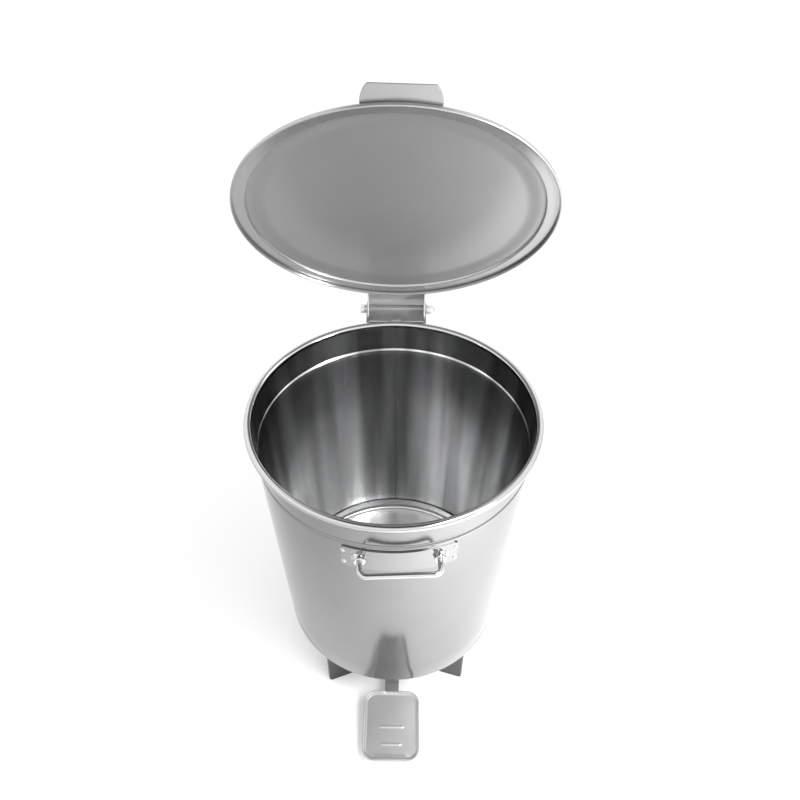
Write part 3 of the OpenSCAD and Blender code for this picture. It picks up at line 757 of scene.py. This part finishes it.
def make_push_rod():
    """The push rod with a round eye at each end."""
    crank = Vector((0, (crank_lo.y + crank_hi.y) / 2, (crank_lo.z + crank_hi.z) / 2))
    low = Vector((0, (low_pin_lo.y + low_pin_hi.y) / 2, (low_pin_lo.z + low_pin_hi.z) / 2))
    low += Vector((0, *LOW_EYE_OFF))
    ahead = (crank - low).normalized()
    parts = [
        tube([low + ahead * 7, crank - ahead * 4], 4, 32),
        x_ring(-7.5, 7.5, crank.y, crank.z, 5.5, 3.05),
        x_ring(-6, 6, low.y, low.z, 8.5, 5.5),
    ]
    piece("lift_rod", parts, "zinc", "rod", ["push_rod"])
    rings = []
    for centre, r in ((crank, -5.6), (low, 8.4)):
        c = centre + ahead * r
        side = Vector((1, 0, 0))
        up = ahead.cross(side)
        turns = [math.pi * k / 12 for k in range(25)]
        rings.append(weld([c + (side * math.cos(a) + up * math.sin(a)) * 4.1 for a in turns], 0.9))
    piece("lift_rod_welds", rings, "weld", "rod")


def past_corner(x, y):
    """How far a point of the pad lies past the start of its round corner, in X and in Y."""
    return max(abs(x) - (PAD_W / 2 - PAD_CORNER), 0), max(abs(y) - (PAD_L / 2 - PAD_CORNER), 0)


def pad_height(x, y):
    """Height of the pad's upper face above its flat floor."""
    dx, dy = past_corner(x, y)
    if dx and dy:
        inside = PAD_CORNER - math.hypot(dx, dy)
    else:
        inside = min(PAD_W / 2 - abs(x), PAD_L / 2 - abs(y))
    rim = 4.0 * (1 - smooth(inside, 1.2, 5.8))
    notch = 0.55 * smooth(y, PAD_L / 2 - 8, PAD_L / 2 - 3) * (1 - smooth(abs(x), 9, 15))
    lip = 1.6 * math.exp(-((y + PAD_L / 2 - 5.5) / 3.2) ** 2) * (1 - smooth(abs(x), 20, 30))
    ribs = 0.0
    for at_y, half in ((-2, 19), (-28, 15.5)):
        ribs += 0.9 * math.exp(-((y - at_y) / 1.5) ** 2) * (1 - smooth(abs(x), half - 2, half + 1.5))
    return rim * (1 - notch) + lip + ribs


def smooth(v, start, end):
    """A soft step from 0 at start to 1 at end."""
    s = min(max((v - start) / (end - start), 0), 1)
    return s * s * (3 - 2 * s)


def steps_between(marks, gaps):
    """Evenly spaced places between the marks, no further apart than each gap."""
    places = [marks[0]]
    for start, end, gap in zip(marks, marks[1:], gaps):
        n = math.ceil((end - start) / gap)
        places += [start + (end - start) * k / n for k in range(1, n + 1)]
    return places


def into_outline(x, y):
    """A point of the pad's full rectangle, drawn in where the corners are round."""
    dx, dy = past_corner(x, y)
    if not (dx and dy):
        return x, y
    pull = 1 - max(dx, dy) / math.hypot(dx, dy)
    return x - math.copysign(dx * pull, x), y - math.copysign(dy * pull, y)


def make_pad():
    """The pedal's pressed tread: raised rim, rolled front lip and two short ribs."""
    half_w, half_l = PAD_W / 2, PAD_L / 2 - 0.1
    floor_z, skirt_z = 2.06, 0.9
    xs = steps_between([-half_w, -half_w + 7, half_w - 7, half_w], [0.6, 1.4, 0.6])
    ys = steps_between([-half_l, -half_l + 12, half_l - 8, half_l], [0.6, 0.6, 0.6])
    points = []
    for x in xs:
        for y in ys:
            px, py = into_outline(x, y)
            points.append((px, py, floor_z + pad_height(px, py)))
    n = len(ys)
    faces = [[i * n + j, (i + 1) * n + j, (i + 1) * n + j + 1, i * n + j + 1]
             for i in range(len(xs) - 1) for j in range(n - 1)]
    last = (len(xs) - 1) * n
    loop = [i * n for i in range(len(xs))] + [last + j for j in range(1, n)]
    loop += [i * n + n - 1 for i in range(len(xs) - 2, -1, -1)] + [j for j in range(n - 2, 0, -1)]
    m = len(loop)
    start = len(points)
    points += [(points[i][0], points[i][1], skirt_z) for i in loop]
    points += [(points[i][0] * 0.977, points[i][1] * 0.981, 0.0) for i in loop]
    for k in range(m):
        after = (k + 1) % m
        faces.append([loop[k], loop[after], start + after, start + k])
        faces.append([start + k, start + after, start + m + after, start + m + k])
    faces.append([start + m + k for k in range(m)])
    place = PEDAL_TURN @ at(0, -PAD_ARM, BAR_T / 2)
    piece("tread", [moved((points, faces), place)], "tread", "pedal", ["pedal_pad"], sharp=60)


def make_lever():
    """The pedal's flat bar with its hub and the two lugs for the push rod."""
    start = -PAD_ARM - PAD_L / 2 + 16
    bar = [(-BAR_W / 2, start), (BAR_W / 2, start), (BAR_W / 2, REAR_ARM - 12), (-BAR_W / 2, REAR_ARM - 12)]
    parts = [moved(prism(bar, BAR_T), at(0, 0, -BAR_T / 2)), x_ring(-30, 30, 0, 0, 10, 7.05)]
    lug = [(REAR_ARM - 40, 6), (REAR_ARM - 40, -6)] + arc(REAR_ARM, 0, 8, 250, 470, 16)
    parts += [side_plate(lug, x, 4) for x in (-11, 7)]
    piece("treadle_bar", [moved(p, PEDAL_TURN) for p in parts], "bar", "pedal", ["pedal_lever"], bevel=0.6)
    bushes = []
    for side in (-1, 1):
        inner, outer = sorted((side * 6, side * 30))
        bushes.append(x_ring(inner, outer, 0, 0, 7, 5.05))
        inner, outer = sorted((side * 30, side * 32))
        bushes.append(x_ring(inner, outer, 0, 0, 9.5, 5.05))
    piece("hub_bushes", [moved(b, PEDAL_TURN) for b in bushes], "nylon", "pedal", ["pedal_bushes"])
    beads = [weld([(-10, side * 11, 2.6), (10, side * 11, 2.6)]) for side in (-1, 1)]
    piece("hub_welds", [moved(b, PEDAL_TURN) for b in beads], "weld", "pedal")


def set_finishes():
    """Procedural finishes on the CAD nodes that stay as they are."""
    kept = {
        "zinc": ["pedal_bracket", "axle_clips", "rod_pin_clips", "hinge_lock_washer", "rim_wire"],
        "polished": ["pedal_axle", "axle_washers", "pad_rivets", "rod_pin"],
    }
    for finish, nodes in kept.items():
        for name in nodes:
            node = frame["nodes"][name]
            node.data.materials.clear()
            node.data.materials.append(FINISH[finish][0])


# ---- Studio ----

def make_floor():
    """A plain pale floor."""
    bm = bmesh.new()
    bmesh.ops.create_grid(bm, x_segments=1, y_segments=1, size=12)
    mesh = bpy.data.meshes.new("floor")
    bm.to_mesh(mesh)
    bm.free()
    floor = bpy.data.objects.new("floor", mesh)
    bpy.context.scene.collection.objects.link(floor)
    material = bpy.data.materials.new("floor_white")
    material.use_nodes = True
    tree = material.node_tree
    place = add(tree, "ShaderNodeTexCoord").outputs["Object"]
    mottle = add(tree, "ShaderNodeTexNoise", {"Vector": place, "Scale": 3.0})
    colour = add(tree, "ShaderNodeMix", {
        "Factor": mottle.outputs["Fac"], "A": (0.86, 0.86, 0.86, 1), "B": (0.88, 0.88, 0.88, 1),
    }, data_type="RGBA")
    principled = tree.nodes["Principled BSDF"]
    tree.links.new(colour.outputs["Result"], principled.inputs["Base Color"])
    principled.inputs["Roughness"].default_value = 0.9
    principled.inputs["Specular IOR Level"].default_value = 0.0
    mesh.materials.append(material)


def make_light(name, place, target, size, power, beam):
    """A square soft light at place, facing target, whose beam is so many degrees wide."""
    data = bpy.data.lights.new(name, "AREA")
    data.shape = "RECTANGLE"
    data.size, data.size_y = size
    data.energy = power
    data.spread = math.radians(beam)
    light = bpy.data.objects.new(name, data)
    light.location = place
    light.rotation_euler = (Vector(target) - Vector(place)).to_track_quat("-Z", "Y").to_euler()
    bpy.context.scene.collection.objects.link(light)


def make_world():
    """Soft surroundings: white all round, and dark straight overhead."""
    world = bpy.data.worlds.new("studio")
    bpy.context.scene.world = world
    world.use_nodes = True
    tree = world.node_tree
    direction = add(tree, "ShaderNodeTexCoord").outputs["Generated"]
    height = add(tree, "ShaderNodeSeparateXYZ", {"Vector": direction}).outputs["Z"]
    overhead = spread(tree, height, 0.0, 1.0, 0.78, 0.96)
    colour = add(tree, "ShaderNodeMix", {
        "Factor": overhead, "A": (1.66, 1.66, 1.66, 1), "B": (0.1, 0.1, 0.1, 1),
    }, data_type="RGBA")
    background = tree.nodes["Background"]
    tree.links.new(colour.outputs["Result"], background.inputs["Color"])
    background.inputs["Strength"].default_value = 1.0


def make_camera():
    """The camera stands in front of the bin, a degree to its right, and looks down into it."""
    turn = math.radians(CAMERA_TURN)
    data = bpy.data.cameras.new("camera")
    data.sensor_width = 36
    data.lens = CAMERA_LENS
    data.shift_x = CAMERA_SHIFT
    camera = bpy.data.objects.new("camera", data)
    reach, height = CAMERA_REACH * RIM_R * MM, (RIM_Z + CAMERA_RISE * RIM_R) * MM
    camera.location = (reach * math.sin(turn), -reach * math.cos(turn), height)
    camera.rotation_euler = (math.radians(90 - CAMERA_TILT), 0, turn)
    bpy.context.scene.collection.objects.link(camera)
    bpy.context.scene.camera = camera


bpy.context.scene.view_settings.view_transform = "Standard"
make_camera()
make_world()
make_floor()
make_light("key", (0.75, -0.75, 1.0), (0.75, -0.75, 0), (1.0, 1.0), 23.5, 100)
make_light("lid_side", (0.95, -0.55, 0.72), (0.24, 0.12, 0.76), (0.3, 0.3), 2.2, 44)
make_wall()
make_wall_seam()
make_bottom()
make_feet()
make_handle()
make_hinge_bracket()
make_hinge_pin()
make_lid()
make_lid_tab()
make_lid_bracket()
make_push_rod()
make_pad()
make_lever()
set_finishes()
